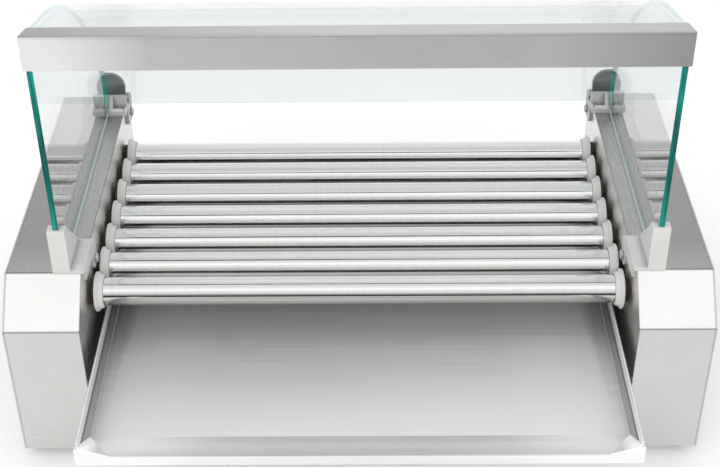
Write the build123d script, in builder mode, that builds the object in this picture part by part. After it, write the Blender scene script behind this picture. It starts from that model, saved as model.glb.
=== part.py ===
from build123d import *
import os
from math import sin, cos, tan, radians, degrees, pi, sqrt, atan2

# Hot dog roller grill, seven heated rollers between two drive/control housings,
# a lift-off glass guard and a pull-out drip tray.
# Origin: centre of the underside of the base pan (the feet reach below it).
# +X to the right, +Y towards the customer side (curved glass), +Z up. Millimetres.

os.makedirs("parts", exist_ok=True)

# ---------------------------------------------------------------- dimensions
WIDTH = 580.0            # over both housings
HALF = WIDTH / 2
T = 1.2                  # stainless sheet
Z_TOP = 164.0            # top of the housings
Z_BOT = 0.0              # underside of the base pan
FOOT_H = 11.0            # height of the feet below it
Y_FRONT = -161.0
Y_REAR = 161.0
Y_EDGE = -126.0          # where the flat top meets the front bevel
Z_BEVEL = 130.0          # where the bevel meets the front face
X_IN = 227.0             # plane of the inner panels
X_PLATE = HALF - T       # inside of the outer side plates

N_ROLL = 7
ROLL_D = 24.0
ROLL_PITCH = 35.4
ROLL_Y0 = -103.0         # axis of the first roller
ROLL_Z = 127.0
TUBE_X = 219.0           # end of the full-diameter tube
JOURNAL_D = 16.0
JOURNAL_BORE = 12.0
CAP_D = 34.0
ROLL_Y = [ROLL_Y0 + i * ROLL_PITCH for i in range(N_ROLL)]

GLASS = 5.0
GUARD_X = 245.0          # outer face of the side glasses
CURVE_X = 246.0          # half width of the curved glass
CURVE_R = 255.0
A1 = radians(14.0)       # slope of the flat part of the curved glass
A2 = radians(75.2)       # slope at its lower end

CHAIN_PITCH = 8.0
TEETH = 12
PITCH_R = CHAIN_PITCH / (2 * sin(pi / TEETH))
SPROCKET_X = -238.6
CHAIN_LINKS = 70

TRAY_HALF = 219.3
TRAY_FRONT = -260.5
TRAY_REAR = 59.0
TRAY_RIM = 97.0            # top of the side and rear walls
TRAY_LIP = 89.5            # top of the front edge
TRAY_FLOOR = 63.0
TRAY_T = 1.0
HEM = 2.2


def section(o=0.0, zb=Z_BOT):
    """Housing section (Y, Z) moved inwards by o everywhere but the base."""
    return [
        (Y_FRONT + o, zb),
        (Y_FRONT + o, Z_BEVEL - 0.4228 * o),
        (Y_EDGE + 0.4058 * o, Z_TOP - o),
        (Y_REAR - o, Z_TOP - o),
        (Y_REAR - o, zb),
    ]


# ---------------------------------------------------------------- base pan
FOOT_X, FOOT_Y = 275.0, 138.5
with BuildPart() as base_pan:
    with BuildSketch(Plane.XY.offset(Z_BOT)):
        Rectangle(2 * (X_PLATE - T), 2 * (Y_REAR - T))
        with Locations((FOOT_X, FOOT_Y), (-FOOT_X, FOOT_Y), (FOOT_X, -FOOT_Y), (-FOOT_X, -FOOT_Y)):
            Circle(2.6, mode=Mode.SUBTRACT)
        with Locations((258.0, -20.0), (-258.0, 60.0)):
            with GridLocations(0, 9.0, 1, 7):
                SlotOverall(34.0, 4.0, mode=Mode.SUBTRACT)
    extrude(amount=T)
base_pan.part.label = "base_pan"
export_step(base_pan.part, "parts/base_pan.step")

# ---------------------------------------------------------------- inner panels
FRONT_SCREW = (-82.0, 147.0)     # (Y, Z) of the bracket screws in the lips
REAR_SCREW = (150.0, 153.0)
with BuildPart() as left_inner_panel:
    with BuildSketch(Plane.YZ.offset(-X_IN - T)) as s:
        with BuildLine():
            Polyline(*section(T, Z_BOT + T), close=True)
        make_face()
        fillet(s.vertices().filter_by_position(Axis.Y, 100, 200), radius=0.7)
        with Locations(*[(y, ROLL_Z) for y in ROLL_Y]):
            Circle(11.0, mode=Mode.SUBTRACT)
        with Locations(FRONT_SCREW, REAR_SCREW):
            Circle(2.1, mode=Mode.SUBTRACT)
    extrude(amount=T)
    with BuildSketch(Plane.XY.offset(Z_BOT + T)):
        with Locations((-X_IN - T - 6.0, 0)):
            Rectangle(12.0, 2 * (Y_REAR - T) - 8)
    extrude(amount=T)
left_inner_panel.part.label = "left_inner_panel"
export_step(left_inner_panel.part, "parts/left_inner_panel.step")

with BuildPart() as right_inner_panel:
    mirror(left_inner_panel.part, about=Plane.YZ)
right_inner_panel.part.label = "right_inner_panel"
export_step(right_inner_panel.part, "parts/right_inner_panel.step")

# ---------------------------------------------------------------- housing covers
INLET_X, INLET_Z = 258.0, 41.0                   # centre of the power inlet
PLATE_SCREWS = [(-155.4, 15.0), (155.4, 15.0), (155.4, 158.4), (-116.0, 158.4), (-155.4, 117.0)]
with BuildPart() as left_housing_cover:
    with BuildSketch(Plane.YZ.offset(-X_PLATE)) as s:
        with BuildLine():
            Polyline(*section(0), close=True)
        make_face()
        fillet(s.vertices().filter_by_position(Axis.Y, 100, 200), radius=1.8)
    extrude(amount=X_PLATE - X_IN)
    with BuildSketch(Plane.YZ.offset(-X_PLATE + T)) as s:
        with BuildLine():
            Polyline(*section(T, Z_BOT - 2), close=True)
        make_face()
        fillet(s.vertices().filter_by_position(Axis.Y, 100, 200), radius=0.6)
    extrude(amount=X_PLATE - X_IN, mode=Mode.SUBTRACT)
    with BuildSketch(Plane.YZ.offset(-X_PLATE - 1)) as s:
        with BuildLine():
            Polyline(*section(11.0, Z_BOT - 2), close=True)
        make_face()
        with Locations(*PLATE_SCREWS):
            Circle(2.1)
    extrude(amount=3.0, mode=Mode.SUBTRACT)
    # seam where the top laps over the front piece
    with Locations((-(X_PLATE + X_IN) / 2, Y_EDGE + 1.3, Z_TOP)):
        Box(X_PLATE - X_IN + 2.0, 0.7, 1.1, mode=Mode.SUBTRACT)
left_housing_cover.part.label = "left_housing_cover"
export_step(left_housing_cover.part, "parts/left_housing_cover.step")

with BuildPart() as right_housing_cover:
    mirror(left_housing_cover.part, about=Plane.YZ)
    with BuildSketch(Plane.XZ.offset(-Y_REAR - 2)):
        with Locations((INLET_X, INLET_Z)):
            Rectangle(28.0, 20.6)
            with GridLocations(40.0, 0, 2, 1):
                Circle(1.6)
    extrude(amount=6.0, mode=Mode.SUBTRACT)
right_housing_cover.part.label = "right_housing_cover"
export_step(right_housing_cover.part, "parts/right_housing_cover.step")

# ---------------------------------------------------------------- side plates
with BuildPart() as left_side_plate:
    with BuildSketch(Plane.YZ.offset(-HALF)) as s:
        with BuildLine():
            Polyline(*section(0), close=True)
        make_face()
        fillet(s.vertices().filter_by_position(Axis.Y, 100, 200), radius=1.8)
        with Locations(*PLATE_SCREWS):
            Circle(2.1, mode=Mode.SUBTRACT)
        with Locations((-70.0, 67.0), (70.0, 67.0)):
            with GridLocations(0, 10.0, 1, 7):
                SlotOverall(64.0, 4.0, mode=Mode.SUBTRACT)
    extrude(amount=T)
    with BuildSketch(Plane.YZ.offset(-HALF)):
        with Locations(*PLATE_SCREWS):
            Circle(3.85)
    extrude(amount=T, taper=45, mode=Mode.SUBTRACT)
left_side_plate.part.label = "left_side_plate"
export_step(left_side_plate.part, "parts/left_side_plate.step")

KNOBS = [(-66.0, 77.0), (2.0, 77.0)]     # (Y, Z)
LIGHTS = [(-66.0, 123.0), (2.0, 123.0)]
SWITCH = (58.0, 81.0)
with BuildPart() as right_side_plate:
    with BuildSketch(Plane.YZ.offset(X_PLATE)) as s:
        with BuildLine():
            Polyline(*section(0), close=True)
        make_face()
        fillet(s.vertices().filter_by_position(Axis.Y, 100, 200), radius=1.8)
        with Locations(*PLATE_SCREWS):
            Circle(2.1, mode=Mode.SUBTRACT)
        with Locations(*KNOBS):
            Circle(5.0, mode=Mode.SUBTRACT)
        with Locations(*LIGHTS):
            Circle(5.0, mode=Mode.SUBTRACT)
        with Locations(SWITCH):
            Rectangle(19.6, 27.6, mode=Mode.SUBTRACT)
        with Locations((112.0, 67.0)):
            with GridLocations(0, 10.0, 1, 7):
                SlotOverall(56.0, 4.0, mode=Mode.SUBTRACT)
    extrude(amount=T)
    with BuildSketch(Plane.YZ.offset(HALF)):
        with Locations(*PLATE_SCREWS):
            Circle(3.85)
    extrude(amount=-T, taper=45, mode=Mode.SUBTRACT)
right_side_plate.part.label = "right_side_plate"
export_step(right_side_plate.part, "parts/right_side_plate.step")

# ---------------------------------------------------------------- cross panels
with BuildPart() as front_cross_panel:
    with BuildSketch(Plane.XZ.offset(-(Y_FRONT + T))):
        with Locations((0, (Z_BOT + T + 53.0) / 2)):
            Rectangle(2 * X_IN, 53.0 - Z_BOT - T)
    extrude(amount=-T)
    with BuildSketch(Plane.XY.offset(53.0 - T)):
        with Locations((0, Y_FRONT + T + 7.0)):
            Rectangle(2 * X_IN, 14.0)
    extrude(amount=T)
front_cross_panel.part.label = "front_cross_panel"
export_step(front_cross_panel.part, "parts/front_cross_panel.step")

with BuildPart() as rear_cross_panel:
    with BuildSketch(Plane.XZ.offset(-(Y_REAR - T))):
        with Locations((0, (Z_BOT + T + 101.0) / 2)):
            Rectangle(2 * X_IN, 101.0 - Z_BOT - T)
        with Locations((-90.0, 29.0), (90.0, 29.0)):
            with GridLocations(0, 9.0, 1, 4):
                SlotOverall(70.0, 4.0, mode=Mode.SUBTRACT)
    extrude(amount=T)
    with BuildSketch(Plane.XY.offset(101.0 - T)):
        with Locations((0, Y_REAR - T - 5.0)):
            Rectangle(2 * X_IN, 10.0)
    extrude(amount=T)
rear_cross_panel.part.label = "rear_cross_panel"
export_step(rear_cross_panel.part, "parts/rear_cross_panel.step")

# ---------------------------------------------------------------- feet
with BuildPart() as rubber_feet:
    with Locations((FOOT_X, FOOT_Y, -FOOT_H), (-FOOT_X, FOOT_Y, -FOOT_H), (FOOT_X, -FOOT_Y, -FOOT_H), (-FOOT_X, -FOOT_Y, -FOOT_H)):
        Cone(12.0, 10.8, FOOT_H, align=(Align.CENTER, Align.CENTER, Align.MIN))
        Cylinder(5.5, 5.0, align=(Align.CENTER, Align.CENTER, Align.MIN), mode=Mode.SUBTRACT)
        Cylinder(2.6, FOOT_H, align=(Align.CENTER, Align.CENTER, Align.MIN), mode=Mode.SUBTRACT)
rubber_feet.part.label = "rubber_feet"
export_step(rubber_feet.part, "parts/rubber_feet.step")

with BuildPart() as foot_screws:
    with Locations((FOOT_X, FOOT_Y, -9.0), (-FOOT_X, FOOT_Y, -9.0), (FOOT_X, -FOOT_Y, -9.0), (-FOOT_X, -FOOT_Y, -9.0)):
        Cylinder(4.5, 3.0, align=(Align.CENTER, Align.CENTER, Align.MIN))
        Cylinder(2.5, 14.0, align=(Align.CENTER, Align.CENTER, Align.MIN))
        Box(5.0, 0.9, 1.2, align=(Align.CENTER, Align.CENTER, Align.MIN), mode=Mode.SUBTRACT)
        Box(0.9, 5.0, 1.2, align=(Align.CENTER, Align.CENTER, Align.MIN), mode=Mode.SUBTRACT)
foot_screws.part.label = "foot_screws"
export_step(foot_screws.part, "parts/foot_screws.step")

# ---------------------------------------------------------------- tray runners
with BuildPart() as tray_runners:
    with BuildSketch(Plane.XZ.offset(144.4)):
        with BuildLine():
            Polyline((-X_IN, 45.0), (-X_IN + T, 45.0), (-X_IN + T, 60.75), (-211.0, 60.75), (-211.0, 61.95), (-X_IN, 61.95), close=True)
        make_face()
        with BuildLine():
            Polyline((X_IN, 45.0), (X_IN - T, 45.0), (X_IN - T, 60.75), (211.0, 60.75), (211.0, 61.95), (X_IN, 61.95), close=True)
        make_face()
    extrude(amount=-300.0)
tray_runners.part.label = "tray_runners"
export_step(tray_runners.part, "parts/tray_runners.step")

# ---------------------------------------------------------------- drip tray
# a folded pan: low sloping front with triangular corner folds, hemmed edges
RUN = 48.5                      # length of the front slope along Y
SLOPE_Y = TRAY_FRONT + RUN      # floor / slope fold
CORNER_X = 193.5                # where the front edge starts to rise at the corners
RISE = (TRAY_LIP - TRAY_FLOOR) / RUN


def corner_plane(sx, shift):
    """Plane of the triangular corner fold, moved towards the inside by shift."""
    a = Vector(sx * TRAY_HALF, SLOPE_Y, TRAY_FLOOR - TRAY_T)
    b = Vector(sx * TRAY_HALF, TRAY_FRONT, TRAY_RIM)
    c = Vector(sx * CORNER_X, TRAY_FRONT, TRAY_LIP - TRAY_T)
    n = (b - a).cross(c - a).normalized()
    if n.Z > 0:
        n = n * -1
    return Plane(origin=a - n * shift, z_dir=n)


with BuildPart() as tray_outer:
    with BuildSketch(Plane.YZ.offset(-TRAY_HALF)):
        with BuildLine():
            Polyline((SLOPE_Y, TRAY_FLOOR - TRAY_T), (TRAY_FRONT, TRAY_LIP - TRAY_T), (TRAY_FRONT, TRAY_RIM),
                     (TRAY_REAR, TRAY_RIM), (TRAY_REAR, TRAY_FLOOR - TRAY_T), close=True)
        make_face()
    extrude(amount=2 * TRAY_HALF)
    split(bisect_by=corner_plane(1, 0), keep=Keep.BOTTOM)
    split(bisect_by=corner_plane(-1, 0), keep=Keep.BOTTOM)

with BuildPart() as tray_inner:
    with BuildSketch(Plane.YZ.offset(-(TRAY_HALF - TRAY_T))):
        with BuildLine():
            yf = TRAY_FRONT - 10.0
            Polyline((SLOPE_Y, TRAY_FLOOR), (yf, TRAY_FLOOR + RISE * (SLOPE_Y - yf)), (yf, TRAY_RIM + 30.0),
                     (TRAY_REAR - TRAY_T, TRAY_RIM + 30.0), (TRAY_REAR - TRAY_T, TRAY_FLOOR), close=True)
        make_face()
    extrude(amount=2 * (TRAY_HALF - TRAY_T))
    split(bisect_by=corner_plane(1, TRAY_T), keep=Keep.BOTTOM)
    split(bisect_by=corner_plane(-1, TRAY_T), keep=Keep.BOTTOM)

with BuildPart() as drip_tray:
    add(tray_outer.part)
    add(tray_inner.part, mode=Mode.SUBTRACT)
    # front hem, folded down, rising with the corner folds
    with BuildSketch(Plane.XZ.offset(-TRAY_FRONT)):
        with BuildLine():
            Polyline((-TRAY_HALF, TRAY_LIP - 8.5), (TRAY_HALF, TRAY_LIP - 8.5), (TRAY_HALF, TRAY_RIM), (CORNER_X, TRAY_LIP),
                     (-CORNER_X, TRAY_LIP), (-TRAY_HALF, TRAY_RIM), close=True)
        make_face()
    extrude(amount=1.6)
    # rounded hems on the inside of the side and rear walls
    with BuildSketch(Plane.XZ.offset(-(TRAY_FRONT + 6.0))) as s:
        for sx in (-1, 1):
            with BuildLine():
                Polyline((sx * TRAY_HALF, TRAY_RIM), (sx * (TRAY_HALF - HEM + 0.7), TRAY_RIM), (sx * (TRAY_HALF - HEM), TRAY_RIM - 0.7),
                         (sx * (TRAY_HALF - HEM), TRAY_RIM - 7.3), (sx * (TRAY_HALF - HEM + 0.7), TRAY_RIM - 8.0),
                         (sx * TRAY_HALF, TRAY_RIM - 8.0), close=True)
            make_face()
    extrude(amount=-(TRAY_REAR - TRAY_FRONT - 6.0))
    with Locations((0, TRAY_REAR - HEM / 2, TRAY_RIM - 4.0)):
        Box(2 * TRAY_HALF, HEM, 8.0)
drip_tray.part.label = "drip_tray"
export_step(drip_tray.part, "parts/drip_tray.step")

# ---------------------------------------------------------------- rollers
roller_nodes = []
for i in range(N_ROLL):
    y = ROLL_Y[i]
    with BuildPart() as roller_tube:
        with BuildSketch(Plane.XZ.offset(-y)):
            with BuildLine():
                Polyline((-246.0, ROLL_Z + JOURNAL_BORE / 2), (-246.0, ROLL_Z + JOURNAL_D / 2), (-TUBE_X, ROLL_Z + JOURNAL_D / 2),
                         (-TUBE_X, ROLL_Z + ROLL_D / 2), (TUBE_X, ROLL_Z + ROLL_D / 2), (TUBE_X, ROLL_Z + JOURNAL_D / 2),
                         (240.0, ROLL_Z + JOURNAL_D / 2), (240.0, ROLL_Z + JOURNAL_BORE / 2), (TUBE_X - 2.0, ROLL_Z + JOURNAL_BORE / 2),
                         (TUBE_X - 2.0, ROLL_Z + ROLL_D / 2 - 1.2), (-TUBE_X + 2.0, ROLL_Z + ROLL_D / 2 - 1.2),
                         (-TUBE_X + 2.0, ROLL_Z + JOURNAL_BORE / 2), close=True)
            make_face()
        revolve(axis=Axis((0, y, ROLL_Z), (1, 0, 0)), revolution_arc=360)
    name = "roller_%d_tube" % (i + 1)
    roller_tube.part.label = name
    export_step(roller_tube.part, "parts/" + name + ".step")

    with BuildPart() as end_caps:
        with BuildSketch(Plane.XZ.offset(-y)):
            for sx in (-1, 1):
                with BuildLine():
                    Polyline((sx * (TUBE_X + 3.0), ROLL_Z + JOURNAL_D / 2), (sx * (TUBE_X + 3.0), ROLL_Z + CAP_D / 2 - 0.6),
                             (sx * (TUBE_X + 2.4), ROLL_Z + CAP_D / 2), (sx * (TUBE_X + 0.9), ROLL_Z + CAP_D / 2),
                             (sx * (TUBE_X + 0.4), ROLL_Z + CAP_D / 2 - 0.6), (sx * (TUBE_X + 0.4), ROLL_Z + CAP_D / 2 - 1.6),
                             (sx * (TUBE_X - 3.9), ROLL_Z + ROLL_D / 2 + 1.6), (sx * (TUBE_X - 4.3), ROLL_Z + ROLL_D / 2 + 1.2),
                             (sx * (TUBE_X - 4.3), ROLL_Z + ROLL_D / 2), (sx * TUBE_X, ROLL_Z + ROLL_D / 2),
                             (sx * TUBE_X, ROLL_Z + JOURNAL_D / 2), close=True)
                make_face()
        revolve(axis=Axis((0, y, ROLL_Z), (1, 0, 0)), revolution_arc=360)
    name = "roller_%d_end_caps" % (i + 1)
    end_caps.part.label = name
    export_step(end_caps.part, "parts/" + name + ".step")

    with BuildPart() as sprocket:
        with BuildSketch(Plane.YZ.offset(SPROCKET_X - 1.4)):
            with Locations((y, ROLL_Z)):
                Circle(12.4)
                with PolarLocations(12.8, TEETH, start_angle=degrees(pi / TEETH)):
                    Trapezoid(3.6, 1.8, 60, rotation=-90)
        extrude(amount=2.8)
        with BuildSketch(Plane.YZ.offset(SPROCKET_X + 1.4)):
            with Locations((y, ROLL_Z)):
                Circle(11.0)
        extrude(amount=4.4)
        with BuildSketch(Plane.YZ.offset(SPROCKET_X - 2)):
            with Locations((y, ROLL_Z)):
                Circle(JOURNAL_D / 2)
        extrude(amount=10.0, mode=Mode.SUBTRACT)
    name = "roller_%d_sprocket" % (i + 1)
    sprocket.part.label = name
    export_step(sprocket.part, "parts/" + name + ".step")

# ---------------------------------------------------------------- bushings
with BuildPart() as roller_bushings:
    with BuildSketch(Plane.YZ.offset(-231.0)):
        with Locations(*[(y, ROLL_Z) for y in ROLL_Y]):
            Circle(14.0)
    extrude(amount=231.0 - X_IN - T)
    with BuildSketch(Plane.YZ.offset(-231.0)):
        with Locations(*[(y, ROLL_Z) for y in ROLL_Y]):
            Circle(11.0)
    extrude(amount=6.5)
    with BuildSketch(Plane.YZ.offset(-232.0)):
        with Locations(*[(y, ROLL_Z) for y in ROLL_Y]):
            Circle(JOURNAL_D / 2 + 0.05)
    extrude(amount=10.0, mode=Mode.SUBTRACT)
    mirror(about=Plane.YZ)
roller_bushings.part.label = "roller_bushings"
export_step(roller_bushings.part, "parts/roller_bushings.step")

# ---------------------------------------------------------------- heating elements
with BuildPart() as heater_rods:
    with BuildSketch(Plane.YZ.offset(-262.0)):
        with Locations(*[(y, ROLL_Z) for y in ROLL_Y]):
            Circle(4.0)
    extrude(amount=524.0)
    with BuildSketch(Plane.YZ.offset(-268.0)):
        with Locations(*[(y, ROLL_Z) for y in ROLL_Y]):
            Circle(1.5)
    extrude(amount=536.0)
heater_rods.part.label = "heater_rods"
export_step(heater_rods.part, "parts/heater_rods.step")

with BuildPart() as heater_brackets:
    with BuildSketch(Plane.XY.offset(ROLL_Z - 14.0)):
        with BuildLine():
            Polyline((-X_IN - T, -139.0), (-X_IN - T, -130.0), (-256.2, -130.0), (-256.2, 137.2), (-X_IN - T, 137.2), (-X_IN - T, 146.0),
                     (-X_IN - 2 * T, 146.0), (-X_IN - 2 * T, 138.4), (-257.4, 138.4), (-257.4, -131.2), (-X_IN - 2 * T, -131.2),
                     (-X_IN - 2 * T, -139.0), close=True)
        make_face()
    extrude(amount=28.0)
    with BuildSketch(Plane.YZ.offset(-260.0)):
        with Locations(*[(y, ROLL_Z) for y in ROLL_Y]):
            Circle(4.0)
    extrude(amount=8.0, mode=Mode.SUBTRACT)
    mirror(about=Plane.YZ)
heater_brackets.part.label = "heater_brackets"
export_step(heater_brackets.part, "parts/heater_brackets.step")

# ---------------------------------------------------------------- drive motor
MID_Y = (ROLL_Y[0] + ROLL_Y[-1]) / 2
run = (CHAIN_PITCH * CHAIN_LINKS - (ROLL_Y[-1] - ROLL_Y[0]) - 2 * pi * PITCH_R) / 2
MOTOR_Z = ROLL_Z - sqrt(run ** 2 - (MID_Y - ROLL_Y[0]) ** 2)

with BuildPart() as motor_bracket:
    with BuildSketch(Plane.YZ.offset(-247.0)):
        with Locations((MID_Y, MOTOR_Z)):
            Rectangle(72.0, 62.0)
            Circle(9.0, mode=Mode.SUBTRACT)
            with GridLocations(56.0, 48.0, 2, 2):
                Circle(2.1, mode=Mode.SUBTRACT)
    extrude(amount=1.5)
    with BuildSketch(Plane.XY.offset(MOTOR_Z - 31.0)):
        with Locations(((-247.0 - X_IN - T) / 2, MID_Y)):
            Rectangle(247.0 - X_IN - T, 72.0)
    extrude(amount=1.5)
    with BuildSketch(Plane.YZ.offset(-X_IN - T - 1.5)):
        with Locations((MID_Y, MOTOR_Z - 23.0)):
            Rectangle(72.0, 16.0)
    extrude(amount=1.5)
motor_bracket.part.label = "motor_bracket"
export_step(motor_bracket.part, "parts/motor_bracket.step")

with BuildPart() as gear_motor:
    with BuildSketch(Plane.YZ.offset(-285.0)):
        with Locations((MID_Y, MOTOR_Z)):
            Circle(29.0)
    extrude(amount=23.0)
    with BuildSketch(Plane.YZ.offset(-262.0)):
        with Locations((MID_Y, MOTOR_Z)):
            Circle(30.0)
            with GridLocations(56.0, 48.0, 2, 2):
                Circle(5.0)
            Rectangle(56.0, 40.0)
    extrude(amount=15.0)
    with BuildSketch(Plane.YZ.offset(-250.0)):
        with Locations((MID_Y, MOTOR_Z)):
            Circle(8.9)
    extrude(amount=5.5)
    with BuildSketch(Plane.YZ.offset(-286.0)):
        with Locations((MID_Y, MOTOR_Z)):
            Circle(3.55)
    extrude(amount=50.0, mode=Mode.SUBTRACT)
    with BuildSketch(Plane.YZ.offset(-285.5)):
        with Locations((MID_Y, MOTOR_Z)):
            Circle(29.0)
    extrude(amount=0.5)
gear_motor.part.label = "gear_motor"
export_step(gear_motor.part, "parts/gear_motor.step")

with BuildPart() as motor_sprocket:
    with BuildSketch(Plane.YZ.offset(-284.0)):
        with Locations((MID_Y, MOTOR_Z)):
            Circle(3.5)
    extrude(amount=51.0)
    with BuildSketch(Plane.YZ.offset(SPROCKET_X - 1.4)):
        with Locations((MID_Y, MOTOR_Z)):
            Circle(12.4)
            with PolarLocations(12.8, TEETH, start_angle=degrees(pi / TEETH)):
                Trapezoid(3.6, 1.8, 60, rotation=-90)
    extrude(amount=2.8)
    with BuildSketch(Plane.YZ.offset(SPROCKET_X + 1.4)):
        with Locations((MID_Y, MOTOR_Z)):
            Circle(8.0)
    extrude(amount=4.0)
motor_sprocket.part.label = "motor_sprocket"
export_step(motor_sprocket.part, "parts/motor_sprocket.step")

# ---------------------------------------------------------------- drive chain
# joints of the chain lie on the tangent loop over the seven roller sprockets
# and round the motor sprocket
P1 = (ROLL_Y[0], ROLL_Z)
P7 = (ROLL_Y[-1], ROLL_Z)
PM = (MID_Y, MOTOR_Z)
ang = atan2(P7[1] - PM[1], P7[0] - PM[0])


def loop_point(s):
    """Point of the chain loop at arc length s (starts on top of sprocket 1)."""
    top = P7[0] - P1[0]
    s = s % (CHAIN_PITCH * CHAIN_LINKS)
    if s < top:
        return (P1[0] + s, P1[1] + PITCH_R)
    s -= top
    # round sprocket 7 from straight up to the normal of the descending run
    nrm = ang - pi / 2
    arc = (pi / 2 - nrm) * PITCH_R
    if s < arc:
        a = pi / 2 - s / PITCH_R
        return (P7[0] + PITCH_R * cos(a), P7[1] + PITCH_R * sin(a))
    s -= arc
    if s < run:
        n = (cos(nrm), sin(nrm))
        return (P7[0] + n[0] * PITCH_R + (PM[0] - P7[0]) * s / run, P7[1] + n[1] * PITCH_R + (PM[1] - P7[1]) * s / run)
    s -= run
    nrm2 = pi - nrm
    arc = (nrm - (nrm2 - 2 * pi)) * PITCH_R
    if s < arc:
        a = nrm - s / PITCH_R
        return (PM[0] + PITCH_R * cos(a), PM[1] + PITCH_R * sin(a))
    s -= arc
    if s < run:
        n = (cos(nrm2), sin(nrm2))
        return (PM[0] + n[0] * PITCH_R + (P1[0] - PM[0]) * s / run, PM[1] + n[1] * PITCH_R + (P1[1] - PM[1]) * s / run)
    s -= run
    a = nrm2 - s / PITCH_R
    return (P1[0] + PITCH_R * cos(a), P1[1] + PITCH_R * sin(a))


joints = [loop_point(k * CHAIN_PITCH) for k in range(CHAIN_LINKS)]

links = []
for k in range(CHAIN_LINKS):
    a, b = joints[k], joints[(k + 1) % CHAIN_LINKS]
    length = sqrt((b[0] - a[0]) ** 2 + (b[1] - a[1]) ** 2)
    turn = degrees(atan2(b[1] - a[1], b[0] - a[0]))
    mid = ((a[0] + b[0]) / 2, (a[1] + b[1]) / 2)
    lo, hi = (1.5, 2.2) if k % 2 else (2.3, 3.0)
    with BuildPart() as link:
        for x in (SPROCKET_X - hi, SPROCKET_X + lo):
            with BuildSketch(Plane.YZ.offset(x)):
                with Locations(Location((mid[0], mid[1], 0), turn)):
                    SlotCenterToCenter(length, 6.4)
                if k % 2:
                    with Locations(a, b):
                        Circle(1.15, mode=Mode.SUBTRACT)
            extrude(amount=hi - lo)
        if k % 2:
            with BuildSketch(Plane.YZ.offset(SPROCKET_X - 1.5)):
                with Locations(a, b):
                    Circle(1.65)
                    Circle(1.15, mode=Mode.SUBTRACT)
            extrude(amount=3.0)
        else:
            with BuildSketch(Plane.YZ.offset(SPROCKET_X - 3.3)):
                with Locations(a, b):
                    Circle(1.1)
            extrude(amount=6.6)
    links.append(link.part)

with BuildPart() as drive_chain:
    add(links)
drive_chain.part.label = "drive_chain"
export_step(drive_chain.part, "parts/drive_chain.step")

# ---------------------------------------------------------------- glass brackets
# front bracket: foot on the housing top, slotted upright for the side glass,
# lip over the inner panel
BR_OUT = 249.7
BR_IN = 224.0
SLOT_A = GUARD_X + 0.15
SLOT_B = GUARD_X - GLASS - 0.15
with BuildPart() as left_front_glass_bracket:
    with BuildSketch(Plane.YZ.offset(-BR_OUT)) as s:
        with BuildLine():
            Polyline((-127.0, Z_TOP), (-126.6, Z_TOP + 42.0), (-117.0, Z_TOP + 42.0), (-111.0, Z_TOP + 33.0),
                     (-84.0, Z_TOP + 6.0), (-82.5, Z_TOP), close=True)
        make_face()
        fillet(s.vertices().filter_by_position(Axis.Y, Z_TOP + 5, Z_TOP + 60), radius=1.6)
    extrude(amount=14.4)
    with BuildSketch(Plane.XY.offset(Z_TOP)) as s:
        with Locations(((-BR_OUT - BR_IN) / 2, (-127.0 - 82.5) / 2)):
            RectangleRounded(BR_OUT - BR_IN, 44.5, 1.4)
    extrude(amount=3.0)
    with BuildSketch(Plane.YZ.offset(-X_IN)) as s:
        with BuildLine():
            Polyline((-123.0, Z_TOP + 3.0), (-123.0, Z_TOP - 9.0), (-92.0, Z_TOP - 9.0), (-89.5, Z_TOP - 13.0), (-89.5, Z_TOP - 24.0),
                     (-74.5, Z_TOP - 24.0), (-74.5, Z_TOP - 2.0), (-82.5, Z_TOP + 3.0), close=True)
        make_face()
        fillet(s.vertices().filter_by_position(Axis.Y, Z_TOP - 26, Z_TOP - 20), radius=4.0)
        with Locations(FRONT_SCREW):
            Circle(2.1, mode=Mode.SUBTRACT)
    extrude(amount=X_IN - BR_IN)
    with Locations((-(SLOT_A + SLOT_B) / 2, -124.15, Z_TOP + 3.0)):
        Box(SLOT_A - SLOT_B, 60.0, 60.0, align=(Align.CENTER, Align.MIN, Align.MIN), mode=Mode.SUBTRACT)
left_front_glass_bracket.part.label = "left_front_glass_bracket"
export_step(left_front_glass_bracket.part, "parts/left_front_glass_bracket.step")

with BuildPart() as right_front_glass_bracket:
    mirror(left_front_glass_bracket.part, about=Plane.YZ)
right_front_glass_bracket.part.label = "right_front_glass_bracket"
export_step(right_front_glass_bracket.part, "parts/right_front_glass_bracket.step")

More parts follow.
